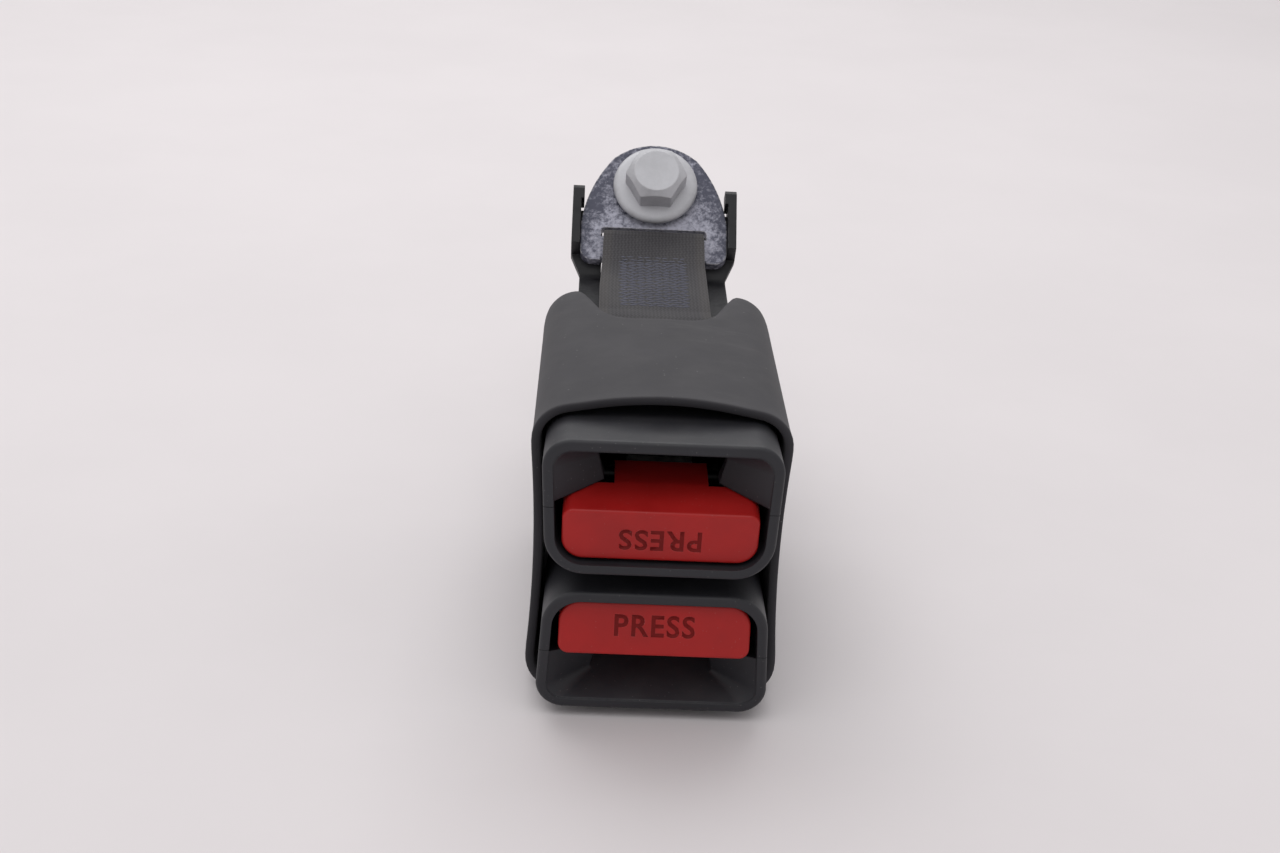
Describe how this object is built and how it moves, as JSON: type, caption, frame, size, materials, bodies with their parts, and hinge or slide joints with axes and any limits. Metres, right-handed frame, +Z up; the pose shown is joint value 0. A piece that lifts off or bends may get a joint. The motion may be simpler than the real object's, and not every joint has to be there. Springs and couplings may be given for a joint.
{
  "type": "seat belt buckle",
  "caption": "Double rear seat belt buckle: push-button buckles back to back in a rubber boot, on a webbing loop with a bolted anchor plate.",
  "frame": {"origin": "under the middle of the part, on the plane of the boot's underside", "axes": "+Y from the buckle mouths to the anchor plate, +X across the buckles, +Z up from the boot's underside, from the lower buckle to the upper one"},
  "size_m": [0.054, 0.1692, 0.0838],
  "materials": {
    "housing": "fine-grained satin charcoal",
    "button": "satin red",
    "ejector": "smooth acetal",
    "frame_steel": "zinc-plated pressed steel",
    "bright_steel": "ground bar",
    "spring_steel": "spring wire",
    "boot": "matt, dusty",
    "webbing": "woven polyester",
    "anchor": "weathered zinc plating",
    "bracket": "satin black",
    "bolt": "dulled zinc plating",
    "washer": "dark spring steel",
    "keeper": "natural nylon"
  },
  "bodies": {
    "buckle_stack": {"boot": "boot", "webbing_strap": "webbing", "upper_slot_cover": "housing", "upper_button_cover": "housing", "upper_frame": "frame_steel", "upper_latch_pin": "bright_steel", "upper_latch_spring": "spring_steel", "upper_button_springs": "spring_steel", "upper_ejector_spring": "spring_steel", "lower_slot_cover": "housing", "lower_button_cover": "housing", "lower_frame": "frame_steel", "lower_latch_pin": "bright_steel", "lower_latch_spring": "spring_steel", "lower_button_springs": "spring_steel", "lower_ejector_spring": "spring_steel"},
    "anchor": {"anchor_plate": "anchor", "anchor_bracket": "bracket", "spring_washer": "washer", "keeper_washer": "keeper"},
    "bolt": {"anchor_bolt": "bolt"},
    "upper_push": {"upper_button": "button", "upper_lock_bar": "bright_steel"},
    "upper_slider": {"upper_ejector": "ejector"},
    "upper_catch": {"upper_latch": "frame_steel"},
    "lower_push": {"lower_button": "button", "lower_lock_bar": "bright_steel"},
    "lower_slider": {"lower_ejector": "ejector"},
    "lower_catch": {"lower_latch": "frame_steel"}
  },
  "joints": [
    {"name": "anchor_swing", "type": "hinge", "parent": "buckle_stack", "child": "anchor", "pos_m": [0, 0.05441, 0.05829], "axis": [1, 0, 0], "range_deg": [-44, 30]},
    {"name": "anchor_bolt_spin", "type": "hinge", "parent": "anchor", "child": "bolt", "pos_m": [0, 0.06721, 0.07065], "axis": [0, -0.6947, 0.7193], "continuous": true},
    {"name": "upper_button_press", "type": "slide", "parent": "buckle_stack", "child": "upper_push", "axis": [0, 1, 0], "range_m": [0, 0.0063], "stiffness_N_per_m": 400, "springref_m": -0.006, "deforming": ["upper_button_springs"]},
    {"name": "upper_ejector_slide", "type": "slide", "parent": "buckle_stack", "child": "upper_slider", "axis": [0, 1, 0], "range_m": [0, 0.016], "stiffness_N_per_m": 150, "springref_m": -0.01, "deforming": ["upper_ejector_spring"]},
    {"name": "upper_latch_swing", "type": "hinge", "parent": "buckle_stack", "child": "upper_catch", "pos_m": [0, -0.03267, 0.04925], "axis": [-1, 0, 0], "range_deg": [0, 15.4], "deforming": ["upper_latch_spring"]},
    {"name": "lower_button_press", "type": "slide", "parent": "buckle_stack", "child": "lower_push", "axis": [0, 1, 0], "range_m": [0, 0.0063], "stiffness_N_per_m": 400, "springref_m": -0.006, "deforming": ["lower_button_springs"]},
    {"name": "lower_ejector_slide", "type": "slide", "parent": "buckle_stack", "child": "lower_slider", "axis": [0, 1, 0], "range_m": [0, 0.016], "stiffness_N_per_m": 150, "springref_m": -0.01, "deforming": ["lower_ejector_spring"]},
    {"name": "lower_latch_swing", "type": "hinge", "parent": "buckle_stack", "child": "lower_catch", "pos_m": [0, -0.03067, 0.01885], "axis": [1, 0, 0], "range_deg": [0, 15.4], "deforming": ["lower_latch_spring"]}
  ],
  "couplings": [
    {"joint": "upper_latch_swing", "follows": "upper_ejector_slide", "rad_per_m": 16.79},
    {"joint": "lower_latch_swing", "follows": "lower_ejector_slide", "rad_per_m": 16.79}
  ]
}
